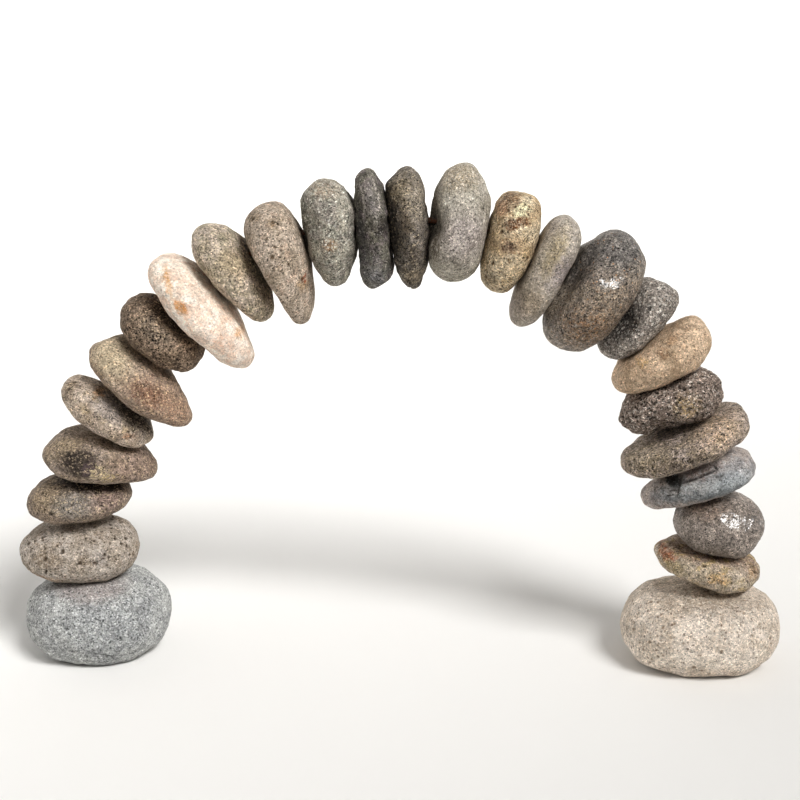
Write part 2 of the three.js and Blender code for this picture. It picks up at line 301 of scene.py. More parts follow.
def stoneFinish(stone):
    material, shader = newMaterial(stone["node"])
    tree = material.node_tree
    place = tree.nodes.new("ShaderNodeTexCoord").outputs["Object"]

    mottle = grade(tree, noiseField(tree, place, stone["mottle"], 4.0, 0.6), *look["toneEdge"])
    colour = layOver(tree, linear(stone["tones"][0]), linear(stone["tones"][1]), mottle)
    for tint, mask in stone["layers"]:
        colour = layOver(tree, colour, linear(tint), mask(tree, place))

    # each mineral grain has a lightness of its own
    salt = stone["salt"]
    grain = wire(tree, "SeparateColor", {0: cellField(tree, place, look["grain"])["Color"]})
    fine = noiseField(tree, place, look["fine"], 3.0, 0.7)
    coarse = noiseField(tree, place, look["coarse"], 2.0, 0.6)
    broad = noiseField(tree, place, look["broad"], 2.0, 0.5)
    lot = wire(tree, "MapRange", {0: grain, 3: -1, 4: 1})
    lot = times(tree, lot, timesPlus(tree, times(tree, lot, lot), *look["grainCurve"]))
    light = timesPlus(tree, lot, look["grainLight"] * salt, 1.0)
    for field, share in ((coarse, look["coarseLight"]), (fine, look["fineLight"])):
        shade = grade(tree, field, *look["toneEdge"], 1 - share * salt, 1 + share * salt)
        light = times(tree, light, shade)
    light = times(tree, light, grade(tree, broad, *look["broadEdge"], *look["broadLight"]))
    colour = wire(tree, "VectorMath", {0: colour, 3: light}, operation="SCALE")
    tree.links.new(colour, shader.inputs["Base Color"])

    smooth = stone["roughness"] - look["roughSpread"]
    rough = min(stone["roughness"] + look["roughSpread"], 1.0)
    roughness = grade(tree, fine, *look["roughEdge"], smooth, rough)
    tree.links.new(roughness, shader.inputs["Roughness"])
    shader.inputs["Specular IOR Level"].default_value = stone.get("specular", look["specular"])

    height = wire(tree, "Math", {0: fine, 1: times(tree, coarse, look["coarseRelief"])}, operation="ADD")
    relief = stone.get("relief", look["relief"])
    bumpy(tree, shader.inputs["Normal"], height, relief, look["reliefDepth"])
    if "polish" in stone:
        # a worn polish that catches the light in small spots
        setInputs(shader, look["coat"])
        worn = noiseField(tree, place, look["glintSize"], 1.0)
        bumpy(tree, shader.inputs["Coat Normal"], worn, 1.0, look["glintDepth"])
        tree.links.new(patchMask(tree, place, **stone["polish"]), shader.inputs["Coat Weight"])
    return material


# The rod, and the drill that follows it
steelRod = {
    "node": "steel_rod",
    "sides": 24, "steps": 96,   # steps round the half circle
    "boreRadius": 4.8,
    "drillRoom": 0.3,      # how far the drill goes below the rod's feet
    "colour": ("#8a7f74", "#94654c"),   # bare steel, and rust
    "metallic": (0.75, 0.15), "roughness": (0.42, 0.8),
    "rustSize": 4, "rustEdge": (0.42, 0.58),
    "bumpSize": 0.8, "bumpDepth": 0.1,
}
rodLow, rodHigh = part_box(steelRod["node"])
rodRadius = (rodHigh.y - rodLow.y) / 2
rodMiddle = (rodLow + rodHigh) / 2
archRadius = (rodHigh.x - rodLow.x) / 2 - rodRadius
springHeight = rodHigh.z - rodRadius - archRadius


def raised(shape, ring, height):
    # extrudes a ring of edges straight up or down, and gives the new ring
    leg = bmesh.ops.extrude_edge_only(shape, edges=ring)["geom"]
    verts = [part for part in leg if isinstance(part, bmesh.types.BMVert)]
    bmesh.ops.translate(shape, verts=verts, vec=(0, 0, height))
    return [part for part in leg
            if isinstance(part, bmesh.types.BMEdge) and all(vert in verts for vert in part.verts)]


def bentBar(radius, footHeight):
    bar = bmesh.new()
    start = Matrix.Translation((rodMiddle.x - archRadius, rodMiddle.y, footHeight))
    bmesh.ops.create_circle(bar, cap_ends=False, segments=steelRod["sides"], radius=radius, matrix=start)
    ring = bar.edges[:]
    bmesh.ops.holes_fill(bar, edges=ring, sides=0)
    ring = raised(bar, ring, springHeight - footHeight)
    middle = (rodMiddle.x, rodMiddle.y, springHeight)
    arc = bmesh.ops.spin(bar, geom=ring, cent=middle, axis=(0, 1, 0), angle=math.pi,
                         steps=steelRod["steps"], use_merge=False)["geom_last"]
    ring = [part for part in arc if isinstance(part, bmesh.types.BMEdge)]
    ring = raised(bar, ring, footHeight - springHeight)
    bmesh.ops.holes_fill(bar, edges=ring, sides=0)
    bmesh.ops.remove_doubles(bar, verts=bar.verts, dist=samePlace)
    bmesh.ops.recalc_face_normals(bar, faces=bar.faces)
    return bar


def rodFinish():
    material, shader = newMaterial("dull_steel")
    tree = material.node_tree
    place = tree.nodes.new("ShaderNodeTexCoord").outputs["Object"]
    rusty = grade(tree, noiseField(tree, place, steelRod["rustSize"], 4.0, 0.65), *steelRod["rustEdge"])
    colour = layOver(tree, *map(linear, steelRod["colour"]), rusty)
    tree.links.new(colour, shader.inputs["Base Color"])
    for name in ("metallic", "roughness"):
        tree.links.new(grade(tree, rusty, 0.0, 1.0, *steelRod[name]), shader.inputs[name.title()])
    worn = noiseField(tree, place, steelRod["bumpSize"], 3.0)
    bumpy(tree, shader.inputs["Normal"], worn, 0.5, steelRod["bumpDepth"])
    return material


rod = pieceFrom(bentBar(rodRadius, rodLow.z), "rod")
drillFoot = rodLow.z - steelRod["drillRoom"] * mm
drill = pieceFrom(bentBar(steelRod["boreRadius"] * mm, drillFoot), "drill")
rod.data.shade_smooth()
rod.data.materials.append(rodFinish())
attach(rod, "root")
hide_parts(steelRod["node"])
print("rod bent,", len(rod.data.polygons), "faces")


# How every stone is made from its solid
skin = {
    "voxel": 1.15,        # spacing of the finished surface
    "rounding": 3,        # subdivision of the solid's facets
    "roundingTurns": 4,   # passes that bring the rounded surface back through the solid's corners
    "flatAngle": 0.6,     # facets closer than this many degrees are one face
    "faceStep": 1.2,      # width over which a worn face sets in at its edge
    "lineDepth": 0.25,    # share of the depth in the distance to a crack, which is placed from the front
    "stray": 0.5,         # how far a line strays, and over what length
    "straySize": 3,
    "pitTint": 1.6,       # how fast a pit takes its colour from the rim inwards
    "contactGap": 0.15,   # room kept between neighbouring stones
    "contactReach": 6,    # how far away a neighbour's surface is looked for
}


def closedShell(node):
    # the corners of the solid without its drilled hole
    shell = bmesh.new()
    shell.from_mesh(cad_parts[node].data)
    bmesh.ops.remove_doubles(shell, verts=shell.verts, dist=samePlace)
    bmesh.ops.delete(shell, geom=shell.edges[:], context="EDGES_FACES")
    bmesh.ops.convex_hull(shell, input=shell.verts)
    bmesh.ops.delete(shell, geom=[vert for vert in shell.verts if not vert.link_faces], context="VERTS")
    flat = math.radians(skin["flatAngle"])
    bmesh.ops.dissolve_limit(shell, angle_limit=flat, verts=shell.verts, edges=shell.edges)
    bmesh.ops.triangulate(shell, faces=shell.faces)
    bmesh.ops.recalc_face_normals(shell, faces=shell.faces)
    return shell


def roundOff(piece):
    # the rounded surface passes through the solid's own corners
    modify(piece, "SUBSURF", levels=skin["rounding"], render_levels=skin["rounding"])
    corners = coordinates(piece)
    cage = corners.copy()
    for turn in range(skin["roundingTurns"]):
        trial = evaluated(piece)
        cage += corners - vectors(trial.vertices, "co")[:len(corners)]
        bpy.data.meshes.remove(trial)
        moveTo(piece, cage)
    applyModifiers(piece)


def evenSkin(piece, spacing):
    modify(piece, "REMESH", mode="VOXEL", voxel_size=spacing * mm)
    applyModifiers(piece)


def drilled(piece):
    modify(piece, "BOOLEAN", operation="DIFFERENCE", solver="EXACT", object=drill)
    applyModifiers(piece)


# Wear that shapes a stone, applied in turn
def face(at, out, soft=1.8, edge=None, side=None):
    # lowers what stands above a plane, only on one side of an edge where it has one
    def worn(points):
        normal = unit(out)
        above = (points - np.array(at) * mm) @ normal / mm
        lowered = soft * np.logaddexp(0, above / soft) * mm
        if side:
            inside = (points - np.array(edge) * mm) @ unit(side)
            lowered = lowered * np.clip(inside / (skin["faceStep"] * mm), 0, 1)
        return points - lowered[:, None] * normal
    return worn


def push(at, across, toward, depth, turn=0):
    # dents or swells a spot with its half sizes across, turned in the front view
    def worn(points):
        turned = np.array(Matrix.Rotation(math.radians(-turn), 3, "Y"))
        reach = (points - np.array(at) * mm) @ turned / (np.array(across) * mm)
        amount = depth * mm * np.exp(-(reach ** 2).sum(1))
        return points + amount[:, None] * unit(toward)
    return worn


# Lines: cracks are grooves, and veins only a change of colour
def crack(width, depth, through):
    return {"mark": "cracks", "width": width, "depth": depth, "through": through}


def vein(width, through):
    return {"mark": "veins", "width": width, "depth": 0, "through": through}


def awayFrom(points, stops):
    # distance to a line through a few stops
    flatten = np.array([1, skin["lineDepth"], 1])
    points = points * flatten
    stops = np.array(stops, float) * flatten * mm
    best = np.full(len(points), 1.0)
    for start, end in zip(stops[:-1], stops[1:]):
        way = end - start
        share = np.clip(((points - start) @ way) / (way @ way), 0, 1)
        best = np.minimum(best, np.linalg.norm(points - start - share[:, None] * way, axis=1))
    return best


def unevenness(points, stone, seed):
    # how far lumps and ripples raise each point
    lumpSize, lumpHeight = stone["lumps"]
    rippleSize, rippleHeight = stone["ripples"]
    return np.array([
        lumpHeight * noise.fractal(spot / (lumpSize * mm) + seed, 1.0, 2.0, 2)
        + rippleHeight * noise.fractal(spot / (rippleSize * mm) + seed, 0.8, 2.1, 3)
        for spot in map(Vector, points)
    ]) * mm


def pitBowls(points, stone):
    # how deep each point lies in a pit, and how much of a pit's colour it has
    tree = KDTree(len(points))
    for index, spot in enumerate(points):
        tree.insert(spot, index)
    tree.balance()
    bowls = [(Vector(at) * mm, radius * mm, depth * mm) for at, radius, depth in stone.get("placedPits", [])]
    count, smallest, largest, steepness = stone["pits"]
    lot = random.Random(stone["seed"])
    for turn in range(count):
        centre = Vector(points[lot.randrange(len(points))])
        radius = lot.uniform(smallest, largest) * mm
        bowls.append((centre, radius, radius * steepness))
    sunk = np.zeros(len(points))
    tint = np.zeros(len(points))
    for centre, radius, depth in bowls:
        start = tree.find(centre)[0]
        for spot, index, distance in tree.find_range(start, radius):
            bowl = 1 - (distance / radius) ** 2
            sunk[index] = max(sunk[index], depth * bowl)
            tint[index] = max(tint[index], min(1.0, skin["pitTint"] * bowl))
    return sunk, tint


def carve(piece, stone):
    points = coordinates(piece)
    for worn in stone.get("wear", []):
        points = worn(points)
    moveTo(piece, points)

    out = vectors(piece.data.vertex_normals, "vector")
    seed = Vector((stone["seed"] * 3.1, stone["seed"] * 1.7, 0))   # the same noise nowhere twice
    points = points + unevenness(points, stone, seed)[:, None] * out
    sunk, pits = pitBowls(points, stone)
    points = points - sunk[:, None] * out

    marks = {"pits": pits, "cracks": np.zeros(len(points)), "veins": np.zeros(len(points))}
    for line in stone.get("lines", []):
        stray = [noise.noise(spot / (skin["straySize"] * mm) + seed) for spot in map(Vector, points)]
        away = awayFrom(points, line["through"]) + np.array(stray) * skin["stray"] * mm
        groove = np.clip(1 - np.abs(away) / (line["width"] * mm), 0, 1) * (out[:, 1] < 0)
        marks[line["mark"]] = np.maximum(marks[line["mark"]], groove)
        points = points - (groove * line["depth"] * mm)[:, None] * out
    moveTo(piece, points)

    for name, values in marks.items():
        mark = piece.data.attributes.new(name, "FLOAT", "POINT")
        mark.data.foreach_set("value", values.astype(np.float32))


finished = []


def makeStone(name, **stone):
    # its place in the row seeds its noise and pits
    stone.update(node=name + "_stone", seed=len(finished) + 1)
    piece = pieceFrom(closedShell(stone["node"]), name)
    roundOff(piece)
    evenSkin(piece, skin["voxel"])   # a clean shell first, so that the drill cuts it reliably
    drilled(piece)
    evenSkin(piece, stone.get("voxel", skin["voxel"]))
    carve(piece, stone)
    piece.data.shade_smooth()
    piece.data.materials.append(stoneFinish(stone))
    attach(piece, "root")
    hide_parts(stone["node"])
    finished.append(piece)
    print(stone["node"].replace("_", " "), "made,", len(piece.data.polygons), "faces")


# The stones, from the left foot over the crown to the right foot:
# lumps and ripples are size and height,
# pits are number, smallest and largest radius, and depth as a share of the radius,
# placedPits are place, radius and depth of the ones that stand out,
# tones are the two colours of the body, which change over mottle and are grained by salt.
makeStone(
    "left_base", lumps=(26, 2), ripples=(5, 0.49), pits=(70, 0.8, 1.5, 0.4),
    tones=("#9c9d9d", "#b3b4b2"), mottle=24, salt=0.57, roughness=0.88,
    wear=[face((-217, 0, 67), (0.67, 0.39, 0.62), soft=1.5)],
    layers=[
        patch((-271, -37, 70), (34, 40, 9), "#a89c98", 0.6, soft=0.5),
        patch((-252, -58, 40), (36, 40, 20), "#85888a", 0.6, soft=0.6, ragged=6, grainy=0.8),
        specks(1.7, 0.14, "#404345", 0.75), crystals(1.4, 0.1, "#dfe0df", 0.45),
        specks(3.1, 0.12, "#3f4245", 0.75), tinted("pits", "#55585a", 0.75),
        tinted("cracks", "#3c3f41", 0.9),
    ],
    lines=[
        crack(1.2, 0.5, [(-268, -60, 22), (-261, -60, 18), (-247, -55, 14)]),
        crack(1.1, 0.4, [(-240, -50, 13), (-232, -42, 12), (-226, -36, 15)]),
        crack(0.9, 0.3, [(-246, -62, 44), (-240, -60, 36), (-238, -58, 30)]),
    ],
)

makeStone(
    "beige_pitted", lumps=(20, 1.6), ripples=(5, 0.35), pits=(200, 0.9, 1.9, 0.6),
    placedPits=[((-324, -23, 106), 2.6, 1.3), ((-306, -40, 98), 2.2, 1), ((-290, -40, 105), 2, 0.9),
                ((-276, -42, 96), 2.3, 1.1), ((-241, -14, 109), 2, 1), ((-240, -17, 104), 1.8, 0.8)],
    tones=("#9c9184", "#b0a79e"), mottle=18, salt=0.52, roughness=0.88,
    wear=[face((-328.5, 0, 110), (-0.6, 0.12, 0.79))],
    layers=[
        clouds(16, 0.3, "#8a7a68", 0.6, grainy=0.6),
        patch((-305, -38, 97), (14, 30, 8), "#77654f", 0.6, soft=0.6, grainy=0.7),
        patch((-311, -31, 76), (14, 30, 4), "#a37f5c", 0.5),
        patch((-259, -38, 98), (6, 30, 5), "#858587", 0.3),
        crystals(1.5, 0.14, "#cbbfb2", 0.6), specks(2.3, 0.14, "#4e4030", 0.8),
        tinted("pits", "#43362b", 0.9),
    ],
)

makeStone(
    "mottled_thin", lumps=(16, 1.6), ripples=(5, 0.35), pits=(90, 0.8, 1.5, 0.6),
    placedPits=[((-299, -41, 141), 2.2, 0.9), ((-303, -39, 144), 1.6, 0.7),
                ((-280, -42, 150), 1.5, 0.6)],
    tones=("#807267", "#948578"), mottle=15, salt=0.69, roughness=0.82,
    layers=[
        patch((-304, -36, 152), (16, 30, 13), "#8d7d60", 0.6, soft=0.6, ragged=5, grainy=0.5),
        patch((-280, -41, 147), (17, 30, 12), "#7e7a74", 0.7, soft=0.5),
        patch((-253, -28, 149), (13, 30, 9), "#85706a", 0.5, soft=0.6, grainy=0.4),
        # painted shadow: the two dark strips along the top stand in for the shade under the stone above
        patch((-292, -16, 163), (22, 30, 5), "#3c3630", 0.8, turn=-8, soft=0.5, grainy=0.5),
        patch((-265, -16, 160), (30, 30, 4), "#1f1a16", 0.9, turn=-8, soft=0.4),
        crystals(1.4, 0.13, "#b5a48b", 0.6), specks(1.8, 0.1, "#4a4038", 0.7),
        tinted("pits", "#352c25", 0.9),
    ],
)

makeStone(
    "brown_blotched", lumps=(20, 1.6), ripples=(5, 0.31), pits=(50, 0.8, 1.4, 0.5),
    tones=("#887a6b", "#9b8d81"), mottle=20, salt=0.69, roughness=0.8,
    wear=[
        face((-217.5, 0, 185.5), (0.7, 0.34, 0.62)),
        face((-302.5, 0, 199), (-0.61, 0.08, 0.79)),
        push((-217, 0, 162), (12, 30, 8), (0.61, -0.19, -0.77), 2),
    ],
    layers=[
        patch((-288, -30, 196), (14, 30, 10), "#9c8c70", 0.6, soft=0.6, grainy=0.8),
        patch((-223, -21, 179), (26, 40, 14), "#826c60", 0.5, soft=0.6),
        patch((-284, -38, 188), (9, 30, 8), "#453b34", 0.8, soft=0.5, grainy=0.4),
        patch((-271, -38, 186), (15, 30, 12), "#2a2320", 0.9, soft=0.3, ragged=2.5, grainy=0.1),
        patch((-263, -41, 182), (7, 30, 5), "#54474a", 0.8, turn=35, soft=0.5),
        patch((-254, -41, 177), (10, 30, 6), "#c4b591", 0.75, turn=-35, soft=0.5, ragged=4, grainy=1,
              grainSize=1.5),
        patch((-246, -39, 173), (7, 30, 4), "#b7a375", 0.6, soft=0.5, grainy=1, grainSize=1.5),
        crystals(1.4, 0.11, "#b8a68c", 0.5), tinted("pits", "#3c322a", 0.85),
    ],
)

makeStone(
    "grey_tan", lumps=(18, 1.6), ripples=(5, 0.31), pits=(60, 0.8, 1.4, 0.6),
    placedPits=[((-278, -16, 252), 2, 1), ((-281, -23, 248), 1.7, 0.9), ((-272, -20, 250), 1.7, 0.8),
                ((-269, -33, 224), 1.5, 0.6)],
    tones=("#a49484", "#bbada0"), mottle=17, salt=0.69, roughness=0.82,
    wear=[
        face((-268, 0, 253), (0.33, 0.32, 0.89)),
        face((-216, 0, 211), (0.91, 0.28, 0.3)),
        face((-237, -29, 228), (0.63, -0.3, 0.72)),
    ],
    layers=[
        clouds(12, 0.3, "#a3906c", 0.5, grainy=0.4),
        patch((-281, -22, 246), (7, 20, 9), "#6a5c4b", 0.7, soft=0.6, grainy=0.7),
        patch((-247, -30, 234), (15, 30, 9), "#848284", 0.45, turn=-40, soft=0.6),
        patch((-230, -35, 209), (4, 20, 3.5), "#a87c58", 0.6),
        patch((-256, -22, 245), (4, 20, 3), "#b0865a", 0.5, soft=0.6),
        # painted shade: a near-black band on the upper right flank, under the next stone
        patch((-224, -18, 222), (9.5, 26, 26), "#2b2622", 0.85, turn=45, soft=0.5, grainy=0.3),
        crystals(1.4, 0.12, "#c4b7a1", 0.5), tinted("pits", "#3d332a", 0.9),
    ],
)

makeStone(
    "brown_speckled", lumps=(22, 1.8), ripples=(5, 0.35), pits=(50, 0.8, 1.4, 0.5),
    tones=("#8d7b6b", "#a08f80"), mottle=22, salt=0.61, roughness=0.8,
    wear=[
        face((-264, 0, 283.5), (-0.69, 0.01, 0.73), soft=2),
        face((-190.5, 0, 251.5), (0.81, 0.29, 0.51)),
        face((-189, 0, 248.5), (0.87, 0.27, 0.41)),
        face((-184.5, 0, 235.5), (0.93, 0.24, 0.26)),
        face((-247.5, 0, 289), (-0.34, 0.14, 0.93)),
        push((-182, 0, 237), (8, 30, 14), (0.95, 0.12, 0.29), 2.5),
        push((-184, 0, 215), (14, 30, 10), (0.61, -0.19, -0.77), 2),
    ],
    layers=[
        patch((-243, -29, 279), (20, 40, 14), "#c9bba0", 0.65, turn=-40),
        patch((-190, -32, 234), (32, 40, 20), "#8d7260", 0.5, turn=-45, soft=0.6, ragged=6, grainy=0.5),
        patch((-213, -40, 250), (14, 30, 8), "#6f5344", 0.7, turn=-30, grainy=0.7),
        patch((-186, -28, 229), (13, 30, 10), "#ae8e77", 0.6, turn=-45, soft=0.6, grainy=1),
        patch((-208, -38, 247), (15, 30, 9), "#84604a", 0.55, turn=-48, grainy=0.5),
        crystals(1.6, 0.12, "#cfb696", 0.5), specks(2.3, 0.1, "#5f4236", 0.6),
        tinted("pits", "#43302a", 0.8),
    ],
)

makeStone(
    "dark_brown", lumps=(16, 1.8), ripples=(4.5, 0.49), pits=(90, 0.8, 1.5, 0.6),
    placedPits=[((-205, -39, 303), 1.6, 0.8), ((-203, -40, 296), 1.6, 0.8)],
    tones=("#6f5f50", "#887767"), mottle=14, salt=1.06, roughness=0.8,
    wear=[
        face((-200, -17, 322), (0.75, -0.25, 0.62)),
        push((-178, 0, 265), (10, 30, 8), (0.52, -0.21, -0.83), 2),
    ],
    layers=[
        patch((-202, -38, 306), (16, 30, 11), "#8f8273", 0.75, turn=-40, grainy=0.5),
        # painted shadow: a dark band along the upper right edge, where the next stone shades it
        patch((-196, -24, 315), (26, 30, 8), "#3a2d21", 0.85, turn=-42, soft=0.6, grainy=0.4),
        clouds(7, 0.3, "#4a3d31", 0.6, grainy=0.6), crystals(1.5, 0.12, "#a4927b", 0.55),
        tinted("pits", "#2c241d", 0.9),
    ],
)

makeStone(
    "cream", lumps=(24, 1.8), ripples=(5, 0.28), pits=(30, 0.8, 1.3, 0.4), tones=("#e2ccbb", "#f2e5d6"),
    mottle=16, salt=0.3, roughness=0.75,
    wear=[
        face((-129, 0, 295), (0.91, 0.21, 0.36)),
        push((-160, 0, 272), (14, 30, 8), (-0.59, -0.24, -0.77), 1.5),
        push((-152, 0, 271), (18, 30, 10), (-0.4, -0.26, -0.88), 3),
    ],
    layers=[
        clouds(5, 0.35, "#dfb79c", 0.5, grainy=0.5), clouds(8, 0.4, "#f3e9df", 0.6, grainy=0.3),
        patch((-191, -38, 352), (3.2, 30, 7), "#cf9650", 0.75, turn=20, soft=0.6, ragged=2.5, grainy=0.6),
        patch((-187, -43, 341), (2.5, 30, 7), "#dfae74", 0.6, turn=15, soft=0.6, ragged=2.5, grainy=0.5),
        patch((-178, -49, 327), (8, 30, 4.2), "#c98a42", 0.9, turn=-50, soft=0.45, ragged=2.5, grainy=0.3),
        patch((-132, -26, 300), (1.8, 30, 5), "#d29c5e", 0.7, turn=15, soft=0.6, ragged=2, grainy=0.4),
        patch((-150, -44, 306), (24, 40, 10), "#d9b29b", 0.3, turn=-50, soft=0.6, grainy=0.9),
        # painted light: a near-white band that brightens the right flank beside the next stone
        patch((-140, -25, 338), (8, 40, 36), "#fffaf2", 0.6, turn=38, soft=0.6),
        tinted("pits", "#b98f6b", 0.7),
    ],
)

makeStone(
    "olive_grey", lumps=(20, 1.6), ripples=(5, 0.28), pits=(40, 0.8, 1.3, 0.4),
    tones=("#a49885", "#bbada0"), mottle=18, salt=0.76, roughness=0.82,
    wear=[
        face((-141.5, 0, 385), (0.46, 0.21, 0.86)),
        face((-154, 0, 389), (0.1, 0.18, 0.98)),
        face((-134, -25, 371), (0.85, -0.23, 0.47)),
        push((-126, 0, 307), (12, 30, 8), (-0.4, -0.26, -0.88), 2.5),
    ],
    layers=[
        clouds(14, 0.35, "#8f8a77", 0.6),
        patch((-132, -35, 359), (14, 30, 9), "#b09c7c", 0.5, turn=-50, soft=0.6),
        # painted shade: a dark patch on the right flank, beside the next stone
        patch((-113, -15, 350), (5, 26, 26), "#4f473c", 0.5, turn=24, grainy=0.3),
        crystals(1.4, 0.16, "#cdbfa3", 0.55), specks(1.8, 0.1, "#6b5d49", 0.6),
        tinted("pits", "#4e4334", 0.8),
    ],
)

makeStone(
    "beige_brown", lumps=(22, 1.4), ripples=(5, 0.31), pits=(80, 0.8, 1.3, 0.5),
    placedPits=[((-101, -45, 368), 2.4, 1.8), ((-98, -43, 376), 1.6, 0.9), ((-105, -41, 383), 1.4, 0.7),
                ((-119, -23, 397), 2.2, 0.8), ((-101, -33, 395), 2, 0.8), ((-77, -33, 348), 2, 1)],
    tones=("#9f9181", "#b3a597"), mottle=20, salt=0.69, roughness=0.85,
    wear=[
        face((-89.5, 0, 399.5), (0.81, 0.18, 0.56)),
        face((-99, 0, 320), (-0.84, -0.21, -0.5)),
        push((-128, 0, 392), (8, 30, 14), (-0.98, 0.01, 0.19), 2),
    ],
    layers=[
        clouds(9, 0.3, "#a98f7d", 0.5, grainy=0.5),
        patch((-119, -23, 398), (5, 20, 4), "#6f5c3e", 0.7, grainy=0.6),
        patch((-100, -33, 395), (6, 20, 2.6), "#6f5c3e", 0.7, grainy=0.6),
        patch((-77, -33, 344), (3.2, 20, 6), "#a9875a", 0.5, turn=8),
        patch((-76.5, -33, 348), (2.2, 20, 2.6), "#8e4526", 0.8, soft=0.4),
        crystals(1.4, 0.12, "#cfc1b0", 0.5), tinted("pits", "#4b3b2a", 0.9),
    ],
)

makeStone(
    "green_grey", lumps=(16, 1.8), ripples=(4.5, 0.49), pits=(60, 0.8, 1.4, 0.5),
    tones=("#928b83", "#a7a194"), mottle=14, salt=0.72, roughness=0.78,
    wear=[
        face((-44, 0, 420), (0.69, 0.15, 0.71)),
        face((-80, 0, 392.5), (-0.97, -0.13, -0.19)),
        face((-66, -31, 410), (-0.74, -0.67, 0.04)),
    ],
    layers=[
        # painted shade: a dark patch on the left flank, beside the stone before
        patch((-80, -20, 395), (7, 24, 26), "#484b43", 0.7, soft=0.5, grainy=0.4),
        clouds(8, 0.35, "#75786c", 0.6, grainy=0.4),
        patch((-60, -22, 421), (12, 30, 6), "#927c66", 0.55, grainy=0.7),
        patch((-53, -37, 377), (6, 20, 5), "#8a6a48", 0.75, soft=0.5, grainy=0.5),
        crystals(1.6, 0.18, "#bfbdb1", 0.6), specks(2.7, 0.12, "#eceae2", 0.75),
        specks(1.9, 0.14, "#55574f", 0.6), tinted("pits", "#45463f", 0.8),
    ],
)

makeStone(
    "veined_slate", voxel=0.9, lumps=(14, 2), ripples=(4.5, 0.42), pits=(40, 0.8, 1.5, 0.5),
    tones=("#67635a", "#7e7a6d"), mottle=12, salt=0.88, roughness=0.7,
    wear=[
        face((-22, -34, 400), (-0.75, -0.66, 0)),
        push((-28, 0, 341), (7, 30, 12), (-0.91, -0.15, -0.39), 3),
        push((-33, 0, 431), (7, 30, 10), (-0.92, 0.07, 0.39), 2),
    ],
    layers=[
        # painted shade: a dark band down the left flank, beside the stone before
        patch((-29, -30, 380), (6, 24, 36), "#343336", 0.8, turn=4, soft=0.5, grainy=0.4),
        clouds(9, 0.4, "#6e6268", 0.5),
        patch((-20, -34, 414), (7, 20, 13), "#7b7574", 0.6, turn=8, soft=0.5),
        patch((-20, -40, 352), (14, 40, 22), "#6c6b69", 0.6, soft=0.6, grainy=0.5),
        patch((-10, -35, 392), (6, 20, 8), "#2b2325", 0.9, soft=0.5, grainy=0.4),
        patch((-17, -34, 351), (7, 30, 8), "#8f8f92", 0.5, turn=20, grainy=0.4),
        crystals(1.5, 0.1, "#a39d98", 0.5), tinted("veins", "#b5ada5", 0.8),
        tinted("pits", "#332d2c", 0.8),
    ],
    lines=[
        vein(1.5, [(-28, -26, 424), (-25, -31, 408), (-18, -34, 402), (-13, -33, 408), (-14, -28, 420),
                   (-20, -20, 432)]),
        vein(1.4, [(-25, -31, 408), (-28, -33, 394), (-27, -37, 380), (-21, -41, 374)]),
    ],
)

makeStone(
    "thin_dark", lumps=(14, 2), ripples=(4.5, 0.42), pits=(50, 0.8, 1.5, 0.5),
    tones=("#6c665e", "#837b73"), mottle=13, salt=0.87, roughness=0.78,
    wear=[
        face((5, -32, 414), (-0.78, -0.63, -0.04)),
        face((1, 0, 358), (-0.89, 0, -0.45), soft=1.5),
        push((-10, 0, 424), (6, 25, 8), (-0.85, 0.1, 0.51), 3),
        push((1, 0, 346), (7, 30, 10), (-0.91, -0.15, -0.39), 3),
        push((26, -8, 388), (8, 22, 11), (1, 0, 0), 2.6),
    ],
    layers=[
        # painted shade: a near-black band down the left flank, partly behind the stone before
        patch((-6, -22, 395), (8, 26, 42), "#1d1814", 0.92, turn=4, soft=0.5, grainy=0.3),
        clouds(8, 0.35, "#4a4238", 0.6, grainy=0.4),
        patch((4, -27, 422), (9, 30, 11), "#988a72", 0.7, turn=-10, grainy=0.5),
        patch((9, -37, 398), (5, 30, 12), "#8a7b66", 0.65, grainy=0.6),
        patch((15, -35, 368), (6, 30, 9), "#42382f", 0.7, soft=0.6, grainy=0.4),
        patch((17, -27, 350), (8, 30, 8), "#897a62", 0.6, soft=0.6, grainy=0.5),
        patch((20, -25, 414), (7, 30, 16), "#b0a594", 0.6, turn=-5, grainy=0.5),
        crystals(1.4, 0.12, "#a99b83", 0.55), tinted("pits", "#2e2821", 0.85),
    ],
)

makeStone(
    "light_grey", lumps=(22, 1.8), ripples=(5, 0.35), pits=(60, 0.8, 1.4, 0.5),
    tones=("#a09a8d", "#b5afa4"), mottle=20, salt=0.6, roughness=0.8,
    wear=[
        face((71, 0, 430), (0.85, 0.06, 0.53)),
        push((28, -20, 393), (13, 21, 12), (1, 0.2, -0.1), 9),
    ],
    layers=[
        patch((50, -24, 434), (20, 30, 12), "#a39074", 0.6, grainy=0.6),
        patch((58, -46, 386), (20, 40, 20), "#94868a", 0.55, grainy=0.4),
        patch((31, -30, 380), (6, 30, 14), "#4c3d2e", 0.75, turn=8, soft=0.6, grainy=0.5),
        crystals(1.4, 0.14, "#c6bdb1", 0.55), specks(3.2, 0.1, "#e9e3da", 0.75),
        specks(1.8, 0.1, "#625a55", 0.6), tinted("pits", "#4c443d", 0.8),
    ],
)

